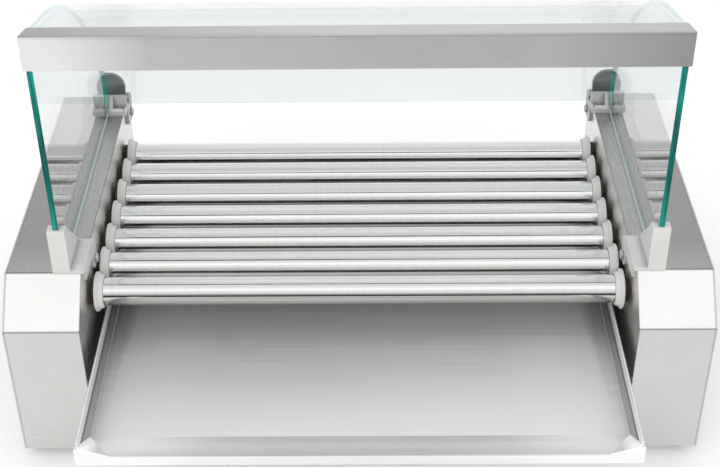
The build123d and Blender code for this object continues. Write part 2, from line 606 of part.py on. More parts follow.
# rear bracket: pocketed block, slots for the side glass and the curved glass,
# rounded fin behind the curved glass
with BuildPart() as left_rear_glass_bracket:
    with BuildSketch(Plane.XY.offset(Z_TOP)) as s:
        with Locations(((-BR_OUT - BR_IN) / 2, (122.0 + 160.0) / 2)):
            RectangleRounded(BR_OUT - BR_IN, 38.0, 1.6)
    extrude(amount=5.0)
    # raised block round the foot of the side glass, rising to the curved glass
    with BuildSketch(Plane.YZ.offset(-BR_OUT)) as s:
        with BuildLine():
            Polyline((122.6, Z_TOP + 2.0), (122.6, Z_TOP + 5.0), (124.0, Z_TOP + 6.4), (133.4, Z_TOP + 16.0), (136.9, Z_TOP + 16.0),
                     (138.6, Z_TOP + 8.5), (138.6, Z_TOP + 2.0), close=True)
        make_face()
        fillet(s.vertices().filter_by_position(Axis.Y, Z_TOP + 15, Z_TOP + 60), radius=0.9)
    extrude(amount=BR_OUT - BR_IN)
    # fin behind the curved glass, rounded towards the inside
    with BuildSketch(Plane.XZ.offset(-146.4)) as s:
        with BuildLine():
            Line((-245.6, Z_TOP), (-245.6, Z_TOP + 32.5))
            Line((-245.6, Z_TOP + 32.5), (-237.5, Z_TOP + 32.0))
            ThreePointArc((-237.5, Z_TOP + 32.0), (-229.6, Z_TOP + 27.0), (-226.6, Z_TOP + 15.0))
            Line((-226.6, Z_TOP + 15.0), (-226.6, Z_TOP))
            Line((-226.6, Z_TOP), (-245.6, Z_TOP))
        make_face()
    extrude(amount=-4.0)
    with BuildSketch(Plane.YZ.offset(-240.5)):
        with BuildLine():
            Polyline((150.0, Z_TOP + 4.0), (150.0, Z_TOP + 26.0), (159.0, Z_TOP + 4.0), close=True)
        make_face()
    extrude(amount=4.0)
    # lip
    with BuildSketch(Plane.YZ.offset(-X_IN)) as s:
        with BuildLine():
            Polyline((136.0, Z_TOP + 3.0), (136.0, Z_TOP - 19.0), (159.5, Z_TOP - 19.0), (159.5, Z_TOP + 3.0), close=True)
        make_face()
        fillet(s.vertices().filter_by_position(Axis.Y, Z_TOP - 26, Z_TOP - 10), radius=4.0)
        with Locations(REAR_SCREW):
            Circle(2.1, mode=Mode.SUBTRACT)
    extrude(amount=X_IN - BR_IN)
    # slot for the side glass
    with Locations((-(SLOT_A + SLOT_B) / 2, 115.0, Z_TOP + 3.0)):
        Box(SLOT_A - SLOT_B, 16.3, 60.0, align=(Align.CENTER, Align.MIN, Align.MIN), mode=Mode.SUBTRACT)
    # the outer cheek is only a low rim
    with Locations((-BR_OUT - 1.0, 115.0, Z_TOP + 6.5)):
        Box(BR_OUT + 1.0 - SLOT_A, 23.7, 30.0, align=(Align.MIN, Align.MIN, Align.MIN), mode=Mode.SUBTRACT)
    # slot for the curved glass, open upwards and to the inside
    with Locations((-(CURVE_X + 0.2), 138.6, Z_TOP + 3.0)):
        Box(30.0, 7.8, 60.0, align=(Align.MIN, Align.MIN, Align.MIN), mode=Mode.SUBTRACT)
    # pocket in front of the curved glass, open to the inside above a low rim
    with Locations((-236.6, 124.8, Z_TOP + 2.0)):
        Box(10.6, 9.4, 30.0, align=(Align.MIN, Align.MIN, Align.MIN), mode=Mode.SUBTRACT)
    with Locations((-226.4, 115.0, Z_TOP + 5.0)):
        Box(5.0, 19.2, 30.0, align=(Align.MIN, Align.MIN, Align.MIN), mode=Mode.SUBTRACT)
    with Locations((-238.0, 152.6, Z_TOP + 2.5)):
        Box(11.4, 5.0, 20.0, align=(Align.MIN, Align.MIN, Align.MIN), mode=Mode.SUBTRACT)
left_rear_glass_bracket.part.label = "left_rear_glass_bracket"
export_step(left_rear_glass_bracket.part, "parts/left_rear_glass_bracket.step")

with BuildPart() as right_rear_glass_bracket:
    mirror(left_rear_glass_bracket.part, about=Plane.YZ)
right_rear_glass_bracket.part.label = "right_rear_glass_bracket"
export_step(right_rear_glass_bracket.part, "parts/right_rear_glass_bracket.step")

# ---------------------------------------------------------------- bracket screws
with BuildPart() as bracket_screws:
    with BuildSketch(Plane.YZ.offset(-BR_IN - 9.0)):
        with Locations(FRONT_SCREW, REAR_SCREW):
            Circle(2.0)
    extrude(amount=9.0)
    with BuildSketch(Plane.YZ.offset(-BR_IN)):
        with Locations(FRONT_SCREW, REAR_SCREW):
            Circle(4.1)
    extrude(amount=1.6)
    with BuildSketch(Plane.YZ.offset(-BR_IN + 1.6)):
        with Locations(FRONT_SCREW, REAR_SCREW):
            Circle(4.1)
    extrude(amount=0.9, taper=40)
    with BuildSketch(Plane.YZ.offset(-BR_IN + 1.3)):
        with Locations(FRONT_SCREW, REAR_SCREW):
            Rectangle(4.6, 0.8)
            Rectangle(0.8, 4.6)
    extrude(amount=2.0, mode=Mode.SUBTRACT)
    mirror(about=Plane.YZ)
bracket_screws.part.label = "bracket_screws"
export_step(bracket_screws.part, "parts/bracket_screws.step")

with BuildPart() as housing_screws:
    with BuildSketch(Plane.YZ.offset(HALF - 7.0)):
        with Locations(*PLATE_SCREWS):
            Circle(2.0)
    extrude(amount=6.5)
    with BuildSketch(Plane.YZ.offset(HALF)):
        with Locations(*PLATE_SCREWS):
            Circle(3.8)
    extrude(amount=-1.15, taper=45)
    with BuildSketch(Plane.YZ.offset(HALF - 0.8)):
        with Locations(*PLATE_SCREWS):
            Rectangle(4.0, 0.7)
            Rectangle(0.7, 4.0)
    extrude(amount=2.0, mode=Mode.SUBTRACT)
    mirror(about=Plane.YZ)
    # the two small screws of the power inlet
    with BuildSketch(Plane.XZ.offset(-(Y_REAR + 2.5))):
        with Locations((INLET_X - 20.0, INLET_Z), (INLET_X + 20.0, INLET_Z)):
            Circle(2.9)
    extrude(amount=-1.4)
    with BuildSketch(Plane.XZ.offset(-(Y_REAR + 2.5))):
        with Locations((INLET_X - 20.0, INLET_Z), (INLET_X + 20.0, INLET_Z)):
            Circle(1.5)
    extrude(amount=9.0)
    with BuildSketch(Plane.XZ.offset(-(Y_REAR + 3.3))):
        with Locations((INLET_X - 20.0, INLET_Z), (INLET_X + 20.0, INLET_Z)):
            Rectangle(3.4, 0.7)
            Rectangle(0.7, 3.4)
    extrude(amount=-2.0, mode=Mode.SUBTRACT)
housing_screws.part.label = "housing_screws"
export_step(housing_screws.part, "parts/housing_screws.step")

# ---------------------------------------------------------------- glass guard
S = (-41.0, Z_TOP + 194.5)                        # end of the flat part, outer face
C = (S[0] - CURVE_R * sin(A1), S[1] - CURVE_R * cos(A1))


def on_arc(r, a):
    return (C[0] + r * sin(a), C[1] + r * cos(a))


def flat_at(y, inset):
    """Point of the flat part at y, inset below the outer face."""
    return (y, S[1] + (S[0] - y) * tan(A1) - inset / cos(A1))


RI = CURVE_R - GLASS
TAIL = 8.07
E_OUT, E_IN = on_arc(CURVE_R, A2), on_arc(RI, A2)
B_OUT = (E_OUT[0] + TAIL * cos(A2), E_OUT[1] - TAIL * sin(A2))
B_IN = (E_IN[0] + TAIL * cos(A2), E_IN[1] - TAIL * sin(A2))
G_FRONT = -125.0

with BuildPart() as curved_glass:
    with BuildSketch(Plane.YZ.offset(-CURVE_X)):
        with BuildLine():
            p0 = flat_at(G_FRONT, 0)
            p1 = flat_at(G_FRONT, GLASS)
            Line(p0, S)
            ThreePointArc(S, on_arc(CURVE_R, (A1 + A2) / 2), E_OUT)
            Line(E_OUT, B_OUT)
            Line(B_OUT, B_IN)
            Line(B_IN, E_IN)
            ThreePointArc(E_IN, on_arc(RI, (A1 + A2) / 2), on_arc(RI, A1))
            Line(on_arc(RI, A1), p1)
            Line(p1, p0)
        make_face()
    extrude(amount=2 * CURVE_X)
curved_glass.part.label = "curved_glass"
export_step(curved_glass.part, "parts/curved_glass.step")

SG_FRONT, SG_REAR = -124.0, 131.0
RS = RI - 0.05
with BuildPart() as left_side_glass:
    with BuildSketch(Plane.YZ.offset(-GUARD_X)):
        with BuildLine():
            a_end = atan2(SG_REAR - C[0], sqrt(RS ** 2 - (SG_REAR - C[0]) ** 2))
            q0 = (SG_FRONT, Z_TOP + 3.05)
            q1 = flat_at(SG_FRONT, GLASS + 0.05)
            q2 = on_arc(RS, A1)
            q3 = on_arc(RS, a_end)
            q4 = (SG_REAR, Z_TOP + 3.05)
            Line(q0, q1)
            Line(q1, q2)
            ThreePointArc(q2, on_arc(RS, (A1 + a_end) / 2), q3)
            Line(q3, q4)
            Line(q4, q0)
        make_face()
    extrude(amount=GLASS)
left_side_glass.part.label = "left_side_glass"
export_step(left_side_glass.part, "parts/left_side_glass.step")

with BuildPart() as right_side_glass:
    mirror(left_side_glass.part, about=Plane.YZ)
right_side_glass.part.label = "right_side_glass"
export_step(right_side_glass.part, "parts/right_side_glass.step")

# top rail: bent sheet over the front edge of the glass
RAIL_X = 246.5
RAIL_Y0, RAIL_Y1 = -127.9, -99.2
with BuildPart() as top_rail:
    with BuildSketch(Plane.YZ.offset(-RAIL_X)):
        with BuildLine():
            r0 = flat_at(RAIL_Y0, -0.05 - T)
            r1 = flat_at(RAIL_Y1, -0.05 - T)
            r2 = flat_at(RAIL_Y1, -0.05)
            r3 = flat_at(RAIL_Y0 + T, -0.05)
            zb = Z_TOP + 189.0
            Polyline((RAIL_Y0, zb), r0, r1, r2, r3, (RAIL_Y0 + T, zb), close=True)
        make_face()
    extrude(amount=2 * RAIL_X)
    with Locations((0, RAIL_Y0, zb)):
        Box(2 * 238.0, 9.0, T, align=(Align.CENTER, Align.MIN, Align.MIN))
    edge = top_rail.edges().filter_by(Axis.X).filter_by_position(Axis.Z, r0[1] - 0.1, r0[1] + 0.1)
    fillet(edge, radius=1.5)
top_rail.part.label = "top_rail"
export_step(top_rail.part, "parts/top_rail.step")

# ---------------------------------------------------------------- controls
with BuildPart() as thermostats:
    with BuildSketch(Plane.YZ.offset(258.0)):
        with Locations(*KNOBS):
            Rectangle(36.0, 36.0)
    extrude(amount=20.0)
    with BuildSketch(Plane.YZ.offset(278.0)):
        with Locations(*KNOBS):
            Circle(12.0)
    extrude(amount=X_PLATE - 278.0)
    with BuildSketch(Plane.YZ.offset(262.0)):
        with Locations(*KNOBS):
            Circle(3.1)
    extrude(amount=40.0, mode=Mode.SUBTRACT)
thermostats.part.label = "thermostats"
export_step(thermostats.part, "parts/thermostats.step")

with BuildPart() as thermostat_dials:
    with BuildSketch(Plane.YZ.offset(HALF)):
        with Locations(*KNOBS):
            Circle(28.0)
            Circle(5.0, mode=Mode.SUBTRACT)
    extrude(amount=0.8)
    with BuildSketch(Plane.YZ.offset(HALF + 0.4)):
        with Locations(*KNOBS):
            with PolarLocations(24.0, 11, start_angle=-60, angular_range=300):
                Rectangle(4.0, 1.0)
    extrude(amount=1.0, mode=Mode.SUBTRACT)
thermostat_dials.part.label = "thermostat_dials"
export_step(thermostat_dials.part, "parts/thermostat_dials.step")

for i, pos in enumerate(KNOBS):
    with BuildPart() as knob:
        with BuildSketch(Plane.YZ.offset(HALF + 1.3)):
            with Locations(pos):
                Circle(19.0)
        extrude(amount=3.0)
        with BuildSketch(Plane.YZ.offset(HALF + 4.3)):
            with Locations(pos):
                Circle(17.0)
        extrude(amount=13.0, taper=3)
        with BuildSketch(Plane.YZ.offset(HALF + 8.0)):
            with Locations(pos):
                with PolarLocations(18.6, 20):
                    Circle(1.5)
        extrude(amount=12.0, mode=Mode.SUBTRACT)
        with BuildSketch(Plane.YZ.offset(HALF + 16.3)):
            with Locations((pos[0], pos[1] + 10.5)):
                Rectangle(1.6, 8.0)
        extrude(amount=2.0, mode=Mode.SUBTRACT)
        with BuildSketch(Plane.YZ.offset(264.0)):
            with Locations(pos):
                Circle(3.0)
        extrude(amount=HALF + 2.0 - 264.0)
    name = ("front_thermostat_knob", "rear_thermostat_knob")[i]
    knob.part.label = name
    export_step(knob.part, "parts/" + name + ".step")

with BuildPart() as pilot_lights:
    with BuildSketch(Plane.YZ.offset(HALF)):
        with Locations(*LIGHTS):
            Circle(6.5)
    extrude(amount=1.2)
    with BuildSketch(Plane.YZ.offset(HALF + 1.2)):
        with Locations(*LIGHTS):
            Circle(4.8)
    extrude(amount=2.2, taper=25)
    with BuildSketch(Plane.YZ.offset(272.0)):
        with Locations(*LIGHTS):
            Circle(4.95)
    extrude(amount=HALF - 272.0)
pilot_lights.part.label = "pilot_lights"
export_step(pilot_lights.part, "parts/pilot_lights.step")

with BuildPart() as switch_body:
    with BuildSketch(Plane.YZ.offset(HALF)):
        with Locations(SWITCH):
            RectangleRounded(24.0, 32.0, 2.0)
            Rectangle(15.4, 23.4, mode=Mode.SUBTRACT)
    extrude(amount=2.0)
    with BuildSketch(Plane.YZ.offset(HALF - 22.0)):
        with Locations(SWITCH):
            Rectangle(19.4, 27.4)
    extrude(amount=22.0)
    with BuildSketch(Plane.YZ.offset(HALF - 9.0)):
        with Locations(SWITCH):
            Rectangle(15.4, 23.4)
    extrude(amount=12.0, mode=Mode.SUBTRACT)
switch_body.part.label = "switch_body"
export_step(switch_body.part, "parts/switch_body.step")

# rocker, drawn in its off position, pivot on the Y axis through PIVOT
PIV_X = HALF - 2.0
with BuildPart() as switch_rocker:
    with BuildSketch(Plane.XZ.offset(-(SWITCH[0] - 7.4))):
        with BuildLine():
            Polyline((PIV_X + 6.2, SWITCH[1] + 9.8), (PIV_X + 4.4, SWITCH[1]), (PIV_X + 2.5, SWITCH[1] - 10.9),
                     (PIV_X - 1.5, SWITCH[1] - 9.6), (PIV_X - 4.0, SWITCH[1]), (PIV_X - 0.5, SWITCH[1] + 9.8), close=True)
        make_face()
    extrude(amount=-14.8)
switch_rocker.part.label = "switch_rocker"
export_step(switch_rocker.part, "parts/switch_rocker.step")

with BuildPart() as terminal_block:
    with BuildSketch(Plane.XY.offset(Z_BOT + T)):
        with Locations((262.0, 62.0)):
            Rectangle(22.0, 54.0)
    extrude(amount=8.0)
    with BuildSketch(Plane.XY.offset(Z_BOT + T + 8.0)):
        with Locations((262.0, 62.0)):
            with GridLocations(0, 10.0, 1, 6):
                Rectangle(22.0, 1.6)
    extrude(amount=6.0)
    with BuildSketch(Plane.XY.offset(Z_BOT + T + 8.0)):
        with Locations((262.0, 62.0)):
            with GridLocations(12.0, 10.0, 2, 5):
                Circle(2.6)
    extrude(amount=2.4)
terminal_block.part.label = "terminal_block"
export_step(terminal_block.part, "parts/terminal_block.step")

with BuildPart() as power_inlet:
    with BuildSketch(Plane.XZ.offset(-Y_REAR)):
        with Locations((INLET_X, INLET_Z)):
            RectangleRounded(50.0, 24.0, 4.0)
            with GridLocations(40.0, 0, 2, 1):
                Circle(1.7, mode=Mode.SUBTRACT)
    extrude(amount=-2.5)
    with BuildSketch(Plane.XZ.offset(-Y_REAR)):
        with Locations((INLET_X, INLET_Z)):
            Rectangle(27.8, 20.4)
    extrude(amount=22.0)
    with BuildSketch(Plane.XZ.offset(-(Y_REAR + 4.0))) as s:
        with Locations((INLET_X, INLET_Z)):
            Rectangle(24.0, 16.4)
    extrude(amount=20.0, mode=Mode.SUBTRACT)
    with BuildSketch(Plane.XZ.offset(-(Y_REAR - 1.0))):
        with Locations((INLET_X - 7.0, INLET_Z - 2.0), (INLET_X + 7.0, INLET_Z - 2.0), (INLET_X, INLET_Z + 2.0)):
            Rectangle(2.0, 4.0)
    extrude(amount=18.0)
power_inlet.part.label = "power_inlet"
export_step(power_inlet.part, "parts/power_inlet.step")
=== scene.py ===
import bpy, bmesh, math, random
from mathutils import Vector, Matrix


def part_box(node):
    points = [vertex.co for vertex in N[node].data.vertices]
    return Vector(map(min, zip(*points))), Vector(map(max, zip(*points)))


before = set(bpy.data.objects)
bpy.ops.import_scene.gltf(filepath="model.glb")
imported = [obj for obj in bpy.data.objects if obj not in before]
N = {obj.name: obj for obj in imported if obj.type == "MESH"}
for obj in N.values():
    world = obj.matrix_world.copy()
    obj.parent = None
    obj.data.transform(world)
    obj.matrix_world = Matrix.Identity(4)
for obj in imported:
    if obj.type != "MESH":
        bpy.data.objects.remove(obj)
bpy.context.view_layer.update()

random.seed(7)
Z_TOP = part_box("left_housing_cover")[1].z          # top of the housings


# ------------------------------------------------------------------ node helpers
class Mat:
    def __init__(self, name):
        self.m = bpy.data.materials.new(name)
        self.m.use_nodes = True
        self.t = self.m.node_tree
        self.t.nodes.clear()
        self.out = self.t.nodes.new("ShaderNodeOutputMaterial")

    def n(self, kind, **kw):
        node = self.t.nodes.new("ShaderNode" + kind)
        for k, v in kw.items():
            if k.startswith("_"):
                setattr(node, k[1:], v)
        for k, v in kw.items():
            if not k.startswith("_"):
                self.set(node, k.replace("__", " "), v)
        return node

    def set(self, node, key, v):
        sock = node.inputs[int(key[1:])] if key[0] == "i" and key[1:].isdigit() else node.inputs[key]
        if isinstance(v, bpy.types.NodeSocket):
            self.t.links.new(v, sock)
        else:
            sock.default_value = v

    def link(self, a, b):
        self.t.links.new(a, b)

    def math(self, op, a, b=0.0, c=None, clamp=False):
        node = self.t.nodes.new("ShaderNodeMath")
        node.operation = op
        node.use_clamp = clamp
        self.set(node, "i0", a)
        self.set(node, "i1", b)
        if c is not None:
            self.set(node, "i2", c)
        return node.outputs[0]

    def ramp(self, fac, stops, interp="LINEAR"):
        node = self.t.nodes.new("ShaderNodeValToRGB")
        node.color_ramp.interpolation = interp
        while len(node.color_ramp.elements) < len(stops):
            node.color_ramp.elements.new(0.5)
        for e, (p, c) in zip(node.color_ramp.elements, stops):
            e.position = p
            e.color = c if len(c) == 4 else (*c, 1)
        self.set(node, "Fac", fac)
        return node.outputs["Color"]

    def rng(self, v, a, b, c, d):
        node = self.t.nodes.new("ShaderNodeMapRange")
        node.clamp = True
        self.set(node, "Value", v)
        for k, x in zip(("From Min", "From Max", "To Min", "To Max"), (a, b, c, d)):
            node.inputs[k].default_value = x
        return node.outputs["Result"]

    def mix(self, f, a, b):
        node = self.t.nodes.new("ShaderNodeMix")
        node.data_type = "RGBA"
        self.set(node, "i0", f)
        self.set(node, "i6", a)
        self.set(node, "i7", b)
        return node.outputs[2]

    def noise(self, coord, scale, detail=3.0, rough=0.55, stretch=(1, 1, 1)):
        mp = self.t.nodes.new("ShaderNodeMapping")
        mp.inputs["Scale"].default_value = stretch
        self.link(coord, mp.inputs["Vector"])
        node = self.t.nodes.new("ShaderNodeTexNoise")
        node.inputs["Scale"].default_value = scale
        node.inputs["Detail"].default_value = detail
        node.inputs["Roughness"].default_value = rough
        self.link(mp.outputs[0], node.inputs["Vector"])
        return node.outputs["Fac"]

    def coord(self):
        return self.t.nodes.new("ShaderNodeTexCoord").outputs["Object"]

    def principled(self, **kw):
        return self.n("BsdfPrincipled", **kw)

    def bump(self, h, strength, dist=0.001):
        node = self.t.nodes.new("ShaderNodeBump")
        node.inputs["Strength"].default_value = strength
        node.inputs["Distance"].default_value = dist
        self.link(h, node.inputs["Height"])
        return node.outputs["Normal"]

    def crevice_shade(self, dist=0.008, low=0.45):
        # painted shade: darkens the colour where ambient occlusion finds nearby surfaces
        node = self.t.nodes.new("ShaderNodeAmbientOcclusion")
        node.samples = 8
        node.only_local = False
        node.inputs["Distance"].default_value = dist
        return self.rng(node.outputs["AO"], 0.15, 0.95, low, 1.0)

    def normal(self):
        geo = self.n("NewGeometry")
        nv = self.n("SeparateXYZ")
        self.link(geo.outputs["Normal"], nv.inputs[0])
        return [self.math("ABSOLUTE", nv.outputs[i]) for i in range(3)]

    def xyz(self, co):
        v = self.n("SeparateXYZ")
        self.link(co, v.inputs[0])
        return v.outputs[0], v.outputs[1], v.outputs[2]

    def curve(self, v, stops):
        lo, hi = stops[0][0], stops[-1][0]
        return self.ramp(self.rng(v, lo, hi, 0.0, 1.0), [((p - lo) / (hi - lo), (f,) * 3) for p, f in stops])

    def done(self, shader):
        self.link(shader, self.out.inputs["Surface"])
        return self.m


def rgb(r, g, b):
    return (r, g, b, 1.0)


def steel(name, axis="X", base=0.56, rough=0.30, grain=1.0, aniso=0.6, tint=(1.0, 1.0, 0.99), cross=1500.0,
          top=1.0, slope=1.0, wall=1.0, tone=None, scatter=None, occlude=True, turn=False):
    """Brushed stainless sheet, grain along one axis. top, slope and wall scale the
    colour of faces that look up, lean or stand, as painted light and shade; tone(m, co)
    gives a further factor of painted light and shade; occlude adds painted shade in crevices."""
    m = Mat(name)
    co = m.coord()
    gco = co
    if turn:
        v = m.n("SeparateXYZ")
        m.link(co, v.inputs[0])
        sw = m.n("CombineXYZ", X=v.outputs[1], Y=v.outputs[0], Z=v.outputs[2])
        mx = m.n("Mix", _data_type="VECTOR")
        m.set(mx, "i0", m.math("GREATER_THAN", m.normal()[2], 0.9))
        m.link(co, mx.inputs[4])
        m.link(sw.outputs[0], mx.inputs[5])
        gco = mx.outputs[1]
    long_ = 6.0
    st = {"X": (long_, cross, cross), "Y": (cross, long_, cross), "Z": (cross, cross, long_)}[axis]
    st2 = tuple(v * 0.35 for v in st)
    fine = m.noise(gco, 1.0, 2.0, 0.6, st)
    mid = m.noise(gco, 1.0, 3.0, 0.6, st2)
    smudge = m.noise(co, 9.0, 4.0, 0.6)
    spots = m.noise(co, 60.0, 2.0, 0.5)
    g = m.math("ADD", m.math("MULTIPLY", fine, 0.6), m.math("MULTIPLY", mid, 0.4))
    lo = 1 - 0.10 * grain
    hi = 1 + 0.10 * grain
    f = m.rng(g, 0.30, 0.70, lo * base, hi * base)
    geo = m.n("NewGeometry")
    nv = m.n("SeparateXYZ")
    m.link(geo.outputs["Normal"], nv.inputs[0])
    up = m.math("ABSOLUTE", nv.outputs[2])
    # painted light: faces that look up, lean or stand each get their own brightness
    level = m.ramp(up, [(0.0, (wall,) * 3), (0.30, (wall,) * 3), (0.55, (slope,) * 3), (0.80, (slope,) * 3), (0.97, (top,) * 3)])
    f = m.math("MULTIPLY", f, level)
    f = m.math("MULTIPLY", f, m.rng(smudge, 0.35, 0.70, 1.015, 0.975))
    # painted shade in crevices
    if occlude:
        f = m.math("MULTIPLY", f, m.crevice_shade(0.006, 0.62))
    if tone is not None:
        f = m.math("MULTIPLY", f, tone(m, co))
    f = m.math("MINIMUM", f, 0.98)
    col = m.n("CombineColor", Red=m.math("MULTIPLY", f, tint[0]), Green=m.math("MULTIPLY", f, tint[1]),
              Blue=m.math("MULTIPLY", f, tint[2])).outputs[0]
    r = m.rng(g, 0.3, 0.7, rough - 0.05 * grain, rough + 0.07 * grain)
    r = m.math("ADD", r, m.rng(smudge, 0.45, 0.75, 0.0, 0.03))
    r = m.math("ADD", r, m.rng(spots, 0.62, 0.80, 0.0, 0.012), clamp=True)
    nrm = m.bump(g, 0.05 * grain, 0.0003)
    tg = m.n("CombineXYZ", X=1.0 if axis == "X" else 0.0, Y=1.0 if axis == "Y" else 0.0, Z=1.0 if axis == "Z" else 0.0)
    p = m.principled(Base__Color=col, Metallic=1.0, Roughness=r, Anisotropic=aniso, Anisotropic__Rotation=0.25, Normal=nrm, Tangent=tg.outputs[0])
    if scatter is not None:                               # worn, hazy areas scatter light; the corner folds also glow white as a painted highlight
        m.set(p, "Metallic", m.math("SUBTRACT", 1.0, scatter(m, co)))
        nx, ny, nz = m.normal()
        fold = m.curve(nx, [(0.0, 0.0), (0.12, 0.0), (0.20, 0.30), (0.60, 0.30), (0.75, 0.0), (1.0, 0.0)])
        # painted highlight: the corner folds glow white
        m.set(p, "Emission Color", rgb(1.0, 1.0, 1.0))
        m.set(p, "Emission Strength", fold)
    return m.done(p.outputs[0])


def haze_tray(m, co):
    x, y, z = m.xyz(co)
    ax = m.math("ABSOLUTE", x)
    nx, ny, nz = m.normal()
    fold = m.curve(nx, [(0.0, 0.0), (0.12, 0.0), (0.20, 1.0), (0.60, 1.0), (0.75, 0.0), (1.0, 0.0)])
    apron = m.math("MULTIPLY", m.rng(ny, 0.8, 0.95, 0.0, 0.7), m.rng(y, -0.2600, -0.2598, 1.0, 0.0))
    slope = m.math("MULTIPLY", m.rng(ax, 0.06, 0.19, 0.05, 0.60), m.rng(y, -0.2135, -0.2125, 1.0, 0.0))
    flat = m.math("MULTIPLY", m.rng(nz, 0.85, 0.97, 0.0, 1.0), m.rng(y, -0.130, -0.040, 0.47, 0.09))
    wide = m.math("MULTIPLY", m.rng(ax, 0.13, 0.20, 0.0, 0.16), m.rng(y, -0.120, -0.070, 1.0, 0.0))
    right = m.math("MULTIPLY", m.rng(x, -0.04, 0.17, 0.0, 0.22), m.rng(nz, 0.85, 0.97, 0.0, 1.0))
    right = m.math("MULTIPLY", right, m.rng(y, -0.2135, -0.2125, 0.0, 1.0))
    flat = m.math("ADD", flat, right)
    total = m.math("ADD", m.math("ADD", slope, m.math("ADD", fold, apron)), m.math("ADD", flat, wide))
    return m.math("MINIMUM", total, 1.0)


def tone_cover(m, co):
    """Housing covers, painted light and shade: darker top outside the glass, lighter towards the front edge of the
    top, darker at the rear end, and dark painted shade lines at the bends and seams.
    """
    x, y, z = m.xyz(co)
    ax = m.math("ABSOLUTE", x)
    nx, ny, nz = m.normal()
    top = m.rng(nz, 0.85, 0.97, 0.0, 1.0)
    out = m.rng(ax, 0.243, 0.250, 0.0, 0.31)
    f = m.math("SUBTRACT", 1.0, m.math("MULTIPLY", top, out))
    f = m.math("MULTIPLY", f, m.math("ADD", 1.0, m.math("MULTIPLY", top, m.rng(y, -0.126, -0.085, 0.28, 0.0))))
    f = m.math("MULTIPLY", f, m.rng(y, 0.158, 0.1605, 1.0, 0.84))
    bend = m.math("ABSOLUTE", m.math("SUBTRACT", z, 0.1302))
    f = m.math("MULTIPLY", f, m.rng(bend, 0.0003, 0.0009, 0.55, 1.0))
    for e in (0.2270, 0.2888):
        d = m.math("ABSOLUTE", m.math("SUBTRACT", ax, e))
        f = m.math("MULTIPLY", f, m.rng(d, 0.0003, 0.0008, 0.62, 1.0))
    return f


def tone_rail(m, co):
    # painted light and shade: the rail's front face and top lighter or darker along its length, the face brightest at
    # the left end
    x, y, z = m.xyz(co)
    nx, ny, nz = m.normal()
    wall = m.curve(x, [(-0.29, 1.0), (-0.22, 0.93), (-0.15, 0.60), (0.0, 0.55), (0.14, 0.53), (0.22, 0.40), (0.29, 0.29)])
    top = m.curve(x, [(-0.29, 0.30), (-0.20, 0.40), (0.0, 0.60), (0.15, 0.57), (0.29, 0.48)])
    return m.mix(m.rng(nz, 0.6, 0.9, 0.0, 1.0), wall, top)


def tone_tray(m, co):
    """Drip tray, painted light and shade: floor darkest under the rollers, light corner
    folds, dark walls under the bright hems, a darker front slope, a painted reflection
    of the housing as a dark band beside each wall, and dark lines at the hem's fold and rim."""
    x, y, z = m.xyz(co)
    ax = m.math("ABSOLUTE", x)
    nx, ny, nz = m.normal()
    fy = m.curve(y, [(-0.2605, 0.98), (-0.214, 0.98), (-0.211, 1.08), (-0.175, 1.10), (-0.134, 1.08), (-0.105, 1.02), (-0.079, 0.90), (-0.058, 0.78), (-0.03, 0.60)])
    corner = m.math("MULTIPLY", m.rng(ax, 0.130, 0.205, 0.0, 0.06), m.rng(y, -0.120, -0.060, 0.0, 1.0))
    f = m.math("MULTIPLY", fy, m.math("SUBTRACT", 1.0, corner))
    f = m.math("MULTIPLY", f, m.rng(ax, 0.12, 0.20, 1.0, 1.20))
    # painted shade: the front slope darker in the middle
    slope_shade = m.curve(y, [(-0.262, 0.0), (-0.240, 0.03), (-0.224, 0.24), (-0.2138, 0.28), (-0.2130, 0.0)])
    slope_shade = m.math("MULTIPLY", slope_shade, m.math("MULTIPLY", m.rng(ax, 0.10, 0.19, 1.0, 0.15), m.rng(z, 0.0950, 0.0956, 1.0, 0.0)))
    f = m.math("MULTIPLY", f, m.math("SUBTRACT", 1.0, slope_shade))
    # painted reflection: a dark band on the floor beside each wall
    wall_reflection = m.rng(m.math("ABSOLUTE", m.math("SUBTRACT", ax, 0.2120)), 0.0040, 0.0140, 0.34, 0.0)
    wall_reflection = m.math("MULTIPLY", wall_reflection, m.math("MULTIPLY", m.curve(y, [(-0.213, 0.45), (-0.160, 0.70), (-0.110, 1.0)]), m.rng(nz, 0.9, 0.98, 0.0, 1.0)))
    f = m.math("MULTIPLY", f, m.math("SUBTRACT", 1.0, wall_reflection))
    n = m.curve(nx, [(0.0, 1.0), (0.12, 1.0), (0.20, 1.5), (0.70, 1.5), (0.85, 0.38), (1.0, 0.38)])
    band = m.curve(z, [(0.060, 1.25), (0.078, 1.1), (0.0838, 0.22), (0.0885, 0.22), (0.0892, 2.3), (0.100, 2.3)])
    n = m.math("MULTIPLY", n, m.mix(m.rng(nx, 0.7, 0.85, 0.0, 1.0), rgb(1, 1, 1), band))
    hem = m.rng(z, 0.0955, 0.0965, 0.0, 1.0)
    n = m.math("ADD", m.math("MULTIPLY", n, m.math("SUBTRACT", 1.0, hem)), m.math("MULTIPLY", hem, 1.15))
    lip = m.math("MULTIPLY", hem, m.rng(nz, 0.5, 0.8, 0.0, 1.0))
    fold_line = m.math("MULTIPLY", m.rng(m.math("ABSOLUTE", m.math("SUBTRACT", ax, 0.2176)), 0.0002, 0.0006, 0.75, 0.0), lip)
    rim_line = m.math("MULTIPLY", m.rng(ax, 0.2185, 0.2189, 0.0, 0.55), lip)
    n = m.math("MULTIPLY", n, m.math("SUBTRACT", 1.0, m.math("MAXIMUM", fold_line, rim_line)))
    return m.math("MULTIPLY", f, n)


